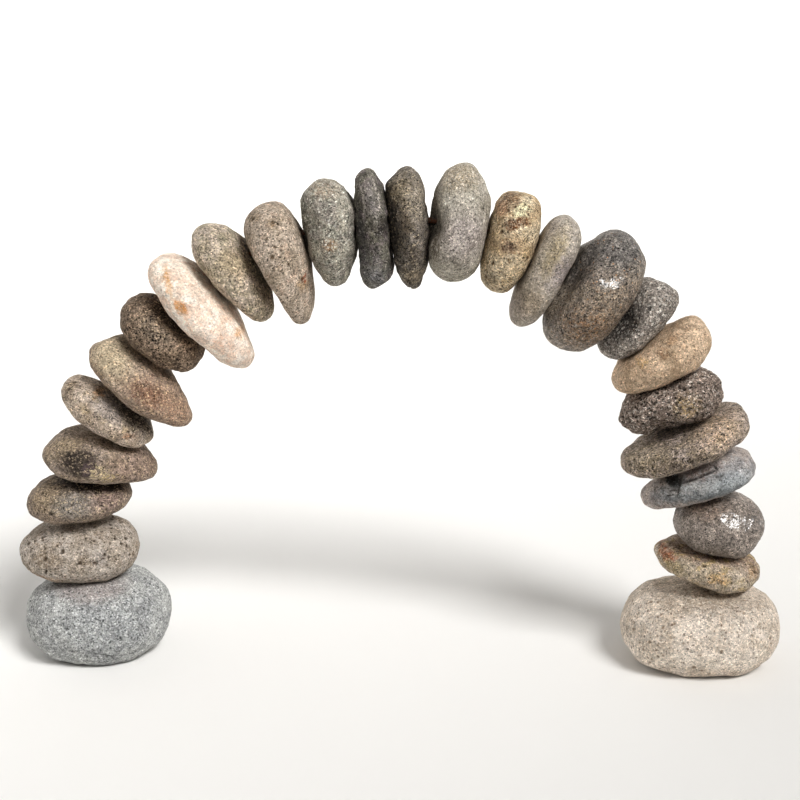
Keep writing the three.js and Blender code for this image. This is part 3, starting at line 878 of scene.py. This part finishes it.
makeStone(
    "rust_yellow", lumps=(18, 1.6), ripples=(4.5, 0.42), pits=(110, 0.9, 1.7, 0.6),
    placedPits=[((88, -35, 389), 2, 0.9), ((81, -33, 363), 2, 0.9), ((114, -28, 375), 1.9, 0.8),
                ((109, -32, 368), 2, 0.9)],
    tones=("#b9a486", "#ccbea6"), mottle=14, salt=0.69, roughness=0.82,
    wear=[
        face((102, 0, 418), (0.08, 0.14, 0.99), soft=2.5),
        face((98.5, 0, 336), (0.62, -0.17, -0.77)),
        push((73, 0, 342), (8, 30, 14), (-0.91, -0.15, -0.39), 1.5),
    ],
    layers=[
        clouds(7, 0.35, "#a68a5e", 0.6, grainy=0.5),
        patch((95, -18, 415), (9, 30, 5), "#6a4a30", 0.9, turn=-15, soft=0.5, grainy=0.5),
        patch((87, -22, 407), (6, 30, 6), "#a88068", 0.7, soft=0.6, grainy=0.4),
        patch((104, -30, 405), (7, 30, 5), "#cbc6a6", 0.7, turn=30, soft=0.5),
        patch((100, -36, 397), (11, 30, 4.5), "#5f3a20", 0.95, turn=20, soft=0.5, ragged=4, grainy=0.4),
        patch((95, -39, 377), (8, 30, 8), "#8e725c", 0.7, grainy=0.7),
        patch((94, -39, 378), (4.5, 30, 4), "#4b3830", 0.85, soft=0.4, grainy=0.3),
        patch((80, -28, 349), (7, 30, 6), "#746c5c", 0.75, turn=30, soft=0.5, grainy=0.4),
        specks(1.8, 0.12, "#4b3420", 0.7), specks(2.7, 0.13, "#5f4227", 0.75),
        tinted("pits", "#4a3420", 0.9), tinted("cracks", "#3a2c1c", 0.8),
    ],
    lines=[
        crack(0.9, 0.4, [(69, -8, 352), (74, -18, 353), (80, -25, 355), (85, -30, 352)]),
    ],
)

makeStone(
    "smooth_grey", lumps=(26, 1.4), ripples=(6, 0.17), pits=(12, 0.8, 1.2, 0.3),
    tones=("#9e968a", "#b2a9a0"), mottle=20, salt=0.58, roughness=0.68, relief=0.35,
    wear=[face((128, -40, 376), (-0.55, -0.8, 0.25), soft=1.6)],
    layers=[
        patch((132, -42, 373), (7, 30, 22), "#a69468", 0.55, turn=-22, grainy=0.4),
        patch((137, -45, 357), (8, 30, 14), "#8b8184", 0.6, turn=-25),
        patch((112, -40, 330), (10, 30, 14), "#9c8a70", 0.5, turn=-30),
        # painted shade: darker on the lower left flank
        patch((99, -20, 324), (8, 30, 22), "#75695f", 0.55, turn=-25),
        crystals(1.3, 0.12, "#bdb09d", 0.4), tinted("pits", "#55493d", 0.6),
    ],
)

makeStone(
    "large_dark", lumps=(24, 1.8), ripples=(5, 0.42), pits=(70, 0.8, 1.4, 0.4),
    tones=("#867c73", "#a39789"), mottle=20, salt=0.96, roughness=0.5, specular=0.5, relief=0.9,
    polish=dict(at=(176, -46, 349), across=(13, 40, 4), turn=4, ragged=2.5, soft=0.25),
    wear=[
        face((169.5, 0, 380.5), (-0.47, 0.18, 0.86)),
        face((172, -49, 352), (0.17, -0.82, 0.55), soft=1.2),
        push((127, 0, 299), (8, 30, 14), (-0.91, -0.15, -0.39), 2),
        push((209, 0, 360), (8, 30, 16), (0.98, 0.1, 0.19), 1.5),
        push((142, -34, 342), (36, 22, 6), (0.4, 0.85, -0.3), 6, turn=58),
        push((158, -34, 372), (20, 22, 11), (0.4, 0.8, -0.5), 4, turn=50),
    ],
    layers=[
        # painted shade: a dark grey band along the valley on the upper left
        patch((156, -25, 366), (24, 40, 10), "#4a4a4c", 0.7, turn=55, soft=0.5, grainy=0.4),
        patch((176, -48, 326), (34, 60, 26), "#7b6853", 0.7, turn=40, ragged=8, grainy=0.6),
        patch((160, -46, 310), (18, 60, 16), "#97704a", 0.6, ragged=6, grainy=0.9, grainSize=2.2),
        patch((190, -29, 377), (22, 50, 20), "#56585b", 0.65, turn=20, ragged=6),
        specks(2.3, 0.1, "#a5723f", 0.6), crystals(1.5, 0.12, "#9a948d", 0.5),
        specks(1.9, 0.14, "#3f3b3d", 0.65), tinted("pits", "#35302e", 0.7),
    ],
)

makeStone(
    "speckled_granite", lumps=(16, 1.6), ripples=(4.5, 0.42), pits=(50, 0.8, 1.4, 0.5),
    placedPits=[((211, -30, 326), 1.8, 0.6)],
    tones=("#837c76", "#978f87"), mottle=16, salt=0.77, roughness=0.8,
    wear=[
        face((224, 0, 342), (0.43, 0.13, 0.89)),
        face((208, -26, 329), (-0.76, -0.53, 0.38)),
        push((238, 0, 326), (8, 30, 14), (0.95, -0.04, -0.3), 3),
        push((174, 0, 282), (8, 30, 8), (-0.84, -0.18, -0.51), 2),
    ],
    layers=[
        # painted shadow: a dark patch on the lower left, where the stone before shades it
        patch((190, -18, 312), (16, 40, 13), "#2f2d2c", 0.8, turn=50, soft=0.5, grainy=0.4),
        crystals(1.6, 0.2, "#c6c1b9", 0.7), specks(1.8, 0.24, "#3d3a38", 0.8),
        clouds(3, 0.12, "#9c7550", 0.5), tinted("pits", "#3c3836", 0.85),
    ],
)

makeStone(
    "warm_tan", lumps=(24, 1.6), ripples=(5, 0.25), pits=(60, 0.8, 1.4, 0.4),
    tones=("#b39c83", "#cab39b"), mottle=22, salt=0.51, roughness=0.8,
    wear=[face((240.5, 0, 310), (-0.41, 0.25, 0.88))],
    layers=[
        clouds(6, 0.3, "#b08f72", 0.5, grainy=0.5),
        patch((223, -39, 289), (4.5, 20, 3.8), "#7b5f45", 0.7, grainy=0.3),
        patch((232, -33, 300), (4, 20, 3), "#8a6c50", 0.6, grainy=0.3),
        patch((242, -20, 307), (3, 20, 3), "#8a6c50", 0.5, grainy=0.3),
        patch((207, -36, 280), (5, 20, 3), "#c9a566", 0.6, grainy=0.8),
        crystals(1.4, 0.12, "#d8c3a8", 0.5), specks(2.6, 0.1, "#6b5039", 0.6),
        tinted("pits", "#5e4632", 0.75),
    ],
)

makeStone(
    "rough_dark", voxel=0.9, lumps=(12, 2.2), ripples=(4, 0.7), pits=(420, 0.9, 1.9, 0.6),
    placedPits=[((247, -41, 242), 2.6, 1.4), ((218, -35, 245), 2.2, 1.2), ((236, -40, 246), 1.8, 1)],
    tones=("#7f7269", "#998b81"), mottle=10, salt=0.95, roughness=0.9, relief=0.9,
    wear=[
        face((194.5, 0, 230.5), (-0.93, 0.18, 0.32)),
        push((273, 0, 259), (10, 30, 8), (0.7, 0.22, 0.68), 1.5),
        push((226, -32, 221), (16, 24, 9), (-0.1, 0.4, 1), 11, turn=8),
    ],
    layers=[
        crystals(1.6, 0.16, "#d6cdc4", 0.65), specks(1.9, 0.2, "#2f2925", 0.75),
        patch((245, -41, 243), (11, 20, 9), "#a08a5e", 0.7, turn=30, soft=0.6, ragged=4, grainy=0.8),
        tinted("pits", "#2a2420", 0.8),
    ],
)

makeStone(
    "bent_brown", lumps=(20, 1.8), ripples=(5, 0.42), pits=(70, 0.8, 1.5, 0.5),
    tones=("#93877a", "#ab9e96"), mottle=16, salt=0.84, roughness=0.82,
    wear=[
        face((300, 0, 229.5), (0.82, 0.02, 0.58)),
        push((197, 0, 193), (8, 30, 8), (-0.95, 0.04, 0.3), 1.5),
        push((231, -34, 215), (17, 20, 7), (0.1, 0.5, -1), 5, turn=10),
    ],
    layers=[
        clouds(10, 0.35, "#6f6354", 0.6, grainy=0.5),
        # the stone's lighter tan on the upper right, brightened further as painted light
        patch((272, -43, 224), (20, 40, 14), "#d0b496", 0.6, turn=25, grainy=0.6),
        patch((214, -38, 194), (18, 40, 10), "#968a72", 0.6, turn=15, grainy=0.5),
        # painted shade: a dark strip along the top, under the stone above
        patch((231, -34, 216), (24, 30, 4.5), "#352c24", 0.7, turn=12, soft=0.6, grainy=0.3),
        # painted shade: darker along the bottom
        patch((242, -50, 195), (34, 30, 6), "#5a4f43", 0.7, turn=14, ragged=5, grainy=0.4),
        crystals(1.5, 0.15, "#bcab92", 0.55), specks(1.9, 0.12, "#4b3f33", 0.65),
        tinted("pits", "#3b3127", 0.85),
    ],
)

makeStone(
    "blue_slate", voxel=0.7, lumps=(18, 1.8), ripples=(5, 0.39), pits=(20, 0.8, 1.3, 0.4),
    tones=("#9c938f", "#b7aba3"), mottle=18, salt=0.5, roughness=0.78,
    wear=[
        face((218, 0, 161), (-0.77, 0.28, 0.58), soft=2),
        face((233, 0, 170.5), (-0.47, 0.33, 0.82), soft=0.8),
        face((232, -20, 171), (-0.2, -0.5, 0.84), soft=0.4, edge=(246, -30, 178), side=(-0.95, 0, 0.3)),
        push((305, 0, 158), (8, 30, 8), (0.81, -0.13, -0.58), 2),
        push((216, 0, 147), (8, 30, 8), (-0.95, -0.12, -0.28), 1.5),
        push((228, 0, 144), (18, 30, 10), (-0.29, -0.27, -0.92), 3),
        push((311, 0, 173), (8, 30, 14), (0.95, -0.04, -0.3), 2.5),
        push((243, -24, 183), (4, 22, 7), (-0.3, 0.5, -0.8), 4),
    ],
    layers=[
        # painted shade: a near-black patch in the notch at the upper left
        patch((239, -25, 174), (7, 24, 6), "#1f1c1a", 0.9, turn=20, soft=0.4, ragged=1.5),
        patch((290, -30, 176), (22, 40, 14), "#a9afb4", 0.7),
        patch((260, -30, 184), (17, 30, 5), "#7f706b", 0.7, turn=20, soft=0.6, grainy=0.5),
        patch((284, -40, 174), (9, 30, 6), "#b0afab", 0.5, grainy=0.8),
        patch((259, -42, 170), (42, 30, 9), "#7c888c", 0.5, turn=12, ragged=5),
        patch((258, -41, 163), (46, 30, 5), "#5d6468", 0.6, turn=8, ragged=4),
        crystals(1.4, 0.1, "#aeb1b2", 0.5), tinted("cracks", "#2e2a28", 0.95),
        tinted("veins", "#a5a6a6", 0.4), tinted("pits", "#45474a", 0.7),
    ],
    lines=[
        crack(1.5, 1.3, [(246, -34, 175), (255, -36, 179), (262, -36, 182), (269, -34, 185), (274, -33, 187),
                         (272, -29, 189)]),
        crack(1.4, 1.2, [(273, -33, 187), (274, -33, 187)]),
        crack(1.1, 0.8, [(273, -39, 182), (276, -39, 182), (279, -38, 184)]),
        crack(0.9, 0.5, [(235, -30, 166), (239, -30, 167), (243, -36, 170)]),
        crack(0.8, 0.4, [(233, -32, 162), (238, -35, 164)]),
        vein(1.3, [(228, -24, 167), (245, -38, 171), (259, -40, 176), (272, -40, 180), (289, -32, 186)]),
    ],
)

makeStone(
    "glossy_grey", lumps=(20, 1.4), ripples=(5, 0.42), pits=(40, 0.8, 1.4, 0.35),
    tones=("#867c74", "#a0958c"), mottle=18, salt=0.79, roughness=0.5, specular=0.5, relief=0.9,
    polish=dict(at=(299, -31, 138), across=(21, 40, 5.5), turn=-12, ragged=2.5, soft=0.25),
    wear=[
        face((317.5, 0, 106.5), (0.74, -0.36, -0.57)),
        face((276, -32, 146), (0.2, -0.8, 0.57), soft=1.5),
    ],
    layers=[
        patch((270, -30, 148), (16, 30, 8), "#857060", 0.6, grainy=0.4),
        crystals(1.5, 0.14, "#a79d95", 0.5), specks(1.8, 0.14, "#4b4440", 0.6),
        tinted("pits", "#443d39", 0.7),
    ],
)

makeStone(
    "ochre_tan", lumps=(16, 1.8), ripples=(5, 0.35), pits=(50, 0.8, 1.5, 0.5),
    placedPits=[((267, -35, 100), 2, 0.8), ((313, -19, 88), 2, 0.7)],
    tones=("#aa9d8a", "#c1b4a5"), mottle=14, salt=0.66, roughness=0.82,
    wear=[
        face((321.5, 0, 80.5), (0.98, -0.14, 0.13)),
        face((236, 0, 111.5), (-0.5, 0.36, 0.79)),
        face((320.5, 0, 73.5), (0.79, -0.35, -0.51)),
        push((319, 0, 90), (8, 30, 8), (0.91, 0.15, 0.39), 1.5),
        push((314, 0, 89), (9, 25, 9), (0.8, 0, 0.6), 3),
        push((239, 0, 85), (12, 30, 10), (-0.7, -0.22, -0.68), 3),
    ],
    layers=[
        # reddish brown along the top, darkened further as painted shade under the stone above
        patch((272, -10, 105), (42, 30, 8), "#7a5a4a", 0.75, turn=-10, soft=0.5, grainy=0.4),
        clouds(9, 0.35, "#a8935f", 0.6, grainy=0.4),
        patch((236, -15, 103), (5, 30, 5), "#8a5238", 0.9, turn=30, soft=0.5, grainy=0.4),
        patch((240, -18, 106), (3, 20, 2.5), "#cbbba8", 0.8, soft=0.6, grainy=0.5),
        patch((244, -29, 95), (9, 30, 5), "#a6956a", 0.55, turn=-25, soft=0.6, grainy=0.3),
        patch((279, -41, 90), (9, 30, 5), "#b08c58", 0.65, turn=-10, soft=0.6, ragged=4, grainy=0.5),
        patch((311, -20, 88), (8, 30, 5), "#7d6546", 0.6, soft=0.6, grainy=0.4),
        patch((241, -23, 103), (4, 30, 3), "#8a5238", 0.7, soft=0.6, grainy=0.4),
        patch((309, -12, 93), (10, 30, 6), "#957a6b", 0.5, turn=-40, soft=0.8, grainy=0.5),
        crystals(1.5, 0.1, "#c9bb9f", 0.5), tinted("pits", "#4c3e2d", 0.85),
    ],
)

makeStone(
    "right_base", lumps=(28, 2), ripples=(6, 0.49), pits=(260, 0.9, 1.7, 0.5),
    placedPits=[((259, -59, 15), 2.4, 0.9), ((281, -63, 33), 2.2, 0.9)],
    tones=("#ccbeaf", "#e0d4c8"), mottle=22, salt=0.44, roughness=0.9,
    wear=[
        face((217, 0, 65), (-0.55, 0.37, 0.75), soft=2),
        face((206, 0, 55), (-0.86, 0.27, 0.43), soft=2),
        push((217, 0, 62), (22, 40, 10), (-0.61, 0.19, 0.77), 1.5),
        push((338, 0, 41), (12, 40, 22), (0.91, 0.15, 0.39), 3),
        push((216, -42, 19), (24, 30, 14), (-0.5, -0.2, -0.85), 4),
        push((209, -14, 10), (6, 20, 4), (0.8, 0.3, 0.5), 3, turn=-30),
    ],
    layers=[
        clouds(5, 0.3, "#ab9a86", 0.5, grainy=0.5),
        # painted shadow: a darker band along the top, under the stone above
        patch((266, -33, 67), (48, 30, 9), "#8f806f", 0.55, turn=-6, ragged=5, grainy=0.3),
        # painted light: a pale band along the bottom, where light bounces up from the floor
        patch((264, -62, 21), (60, 40, 9), "#f4eadd", 0.55, ragged=5, grainy=0.5),
        crystals(1.8, 0.2, "#dcd4c8", 0.5), specks(2.2, 0.14, "#8a7662", 0.7),
        specks(3.2, 0.08, "#6b5a4a", 0.7), tinted("pits", "#7b6753", 0.8),
    ],
)
bpy.data.objects.remove(drill)


def keepApart(piece, neighbour):
    # neighbours touch without cutting into each other
    tree = BVHTree.FromObject(neighbour, bpy.context.evaluated_depsgraph_get())
    gap = skin["contactGap"] * mm
    reach = skin["contactReach"] * mm
    points = coordinates(piece)
    other = coordinates(neighbour)
    near = np.all((points > other.min(0) - gap) & (points < other.max(0) + gap), axis=1)
    for index in np.flatnonzero(near):
        spot, normal = tree.find_nearest(Vector(points[index]), reach)[:2]
        if spot is None:
            continue
        height = (Vector(points[index]) - spot).dot(normal)
        if height < gap:
            points[index] += np.array(normal) * (gap - height)
    moveTo(piece, points)


for piece, neighbour in zip(finished[:-1], finished[1:]):
    keepApart(piece, neighbour)
low, high = (np.array(corner, float) for corner in solidBox)
for piece in finished:
    # the wear stays inside the solids' own box, and the feet on the ground
    moveTo(piece, np.clip(coordinates(piece), low, high))
print("stones settled")


# Floor, lights and camera, in metres and degrees
studio = {
    "floorRadius": 2.4, "coveRadius": 1.4, "coveSteps": 16, "wallHeight": 3.2, "wallSteps": 96,
    "floorDrop": 0.0002,   # the floor and the feet don't share a plane
    "floorColour": "#f2f1ef", "sky": 0.22,
    "lights": {
        "key": {"from": (0.6, -0.68, 0.88), "spread": 26, "power": 3.3, "colour": (1.0, 0.995, 0.985)},
        "fill": {"from": (-0.9, -1.2, 0.5), "spread": 60, "power": 0.3, "colour": (0.97, 0.98, 1.0)},
    },
}


def coveShape():
    # a flat floor that curves up into a wall, spun from its profile
    cove = bmesh.new()
    radius = studio["floorRadius"]
    profile = [cove.verts.new((0, 0, 0)), cove.verts.new((radius, 0, 0))]
    cove.edges.new(profile)
    middle = (radius, 0, studio["coveRadius"])
    curve = bmesh.ops.spin(cove, geom=[profile[1]], cent=middle, axis=(0, -1, 0), angle=math.pi / 2,
                           steps=studio["coveSteps"])["geom_last"]
    top = [part for part in curve if isinstance(part, bmesh.types.BMVert)]
    wall = bmesh.ops.extrude_vert_indiv(cove, verts=top)["verts"]
    bmesh.ops.translate(cove, verts=wall, vec=(0, 0, studio["wallHeight"] - studio["coveRadius"]))
    bmesh.ops.spin(cove, geom=cove.verts[:] + cove.edges[:], cent=(0, 0, 0), axis=(0, 0, 1),
                   angle=2 * math.pi, steps=studio["wallSteps"], use_merge=True)
    bmesh.ops.remove_doubles(cove, verts=cove.verts, dist=10 * samePlace)
    bmesh.ops.recalc_face_normals(cove, faces=cove.faces)
    bmesh.ops.translate(cove, verts=cove.verts, vec=(0, 0, -studio["floorDrop"]))
    return cove


floor = pieceFrom(coveShape(), "floor")
floor.data.shade_smooth()
floorPaint, floorShader = newMaterial("pale_floor")
setInputs(floorShader, {"Base Color": linear(studio["floorColour"]), "Roughness": 1.0,
                        "Specular IOR Level": 0.0})
floor.data.materials.append(floorPaint)

sky = bpy.data.worlds.new("studio")
sky.use_nodes = True
setInputs(sky.node_tree.nodes["Background"], {"Color": (1, 1, 1, 1), "Strength": studio["sky"]})
scene = bpy.context.scene
scene.world = sky

for name, setting in studio["lights"].items():
    light = bpy.data.lights.new(name, "SUN")
    light.angle = math.radians(setting["spread"])
    light.energy = setting["power"]
    light.color = setting["colour"]
    lamp = placed(name, light)
    lamp.location = setting["from"]
    lamp.rotation_euler = Vector(setting["from"]).to_track_quat("Z", "Y").to_euler()

view = {"at": (0.0612, -1.3382, 0.607), "tilt": 74.5, "turn": 2.5, "lens": 72, "sensor": 36}
camera = bpy.data.cameras.new("camera")
camera.lens = view["lens"]
camera.sensor_width = view["sensor"]
cameraPlace = placed("camera", camera)
cameraPlace.location = view["at"]
cameraPlace.rotation_euler = (math.radians(view["tilt"]), 0, math.radians(view["turn"]))
scene.camera = cameraPlace
scene.view_settings.view_transform = "Standard"
scene.view_settings.look = "Medium High Contrast"
print("studio set up")
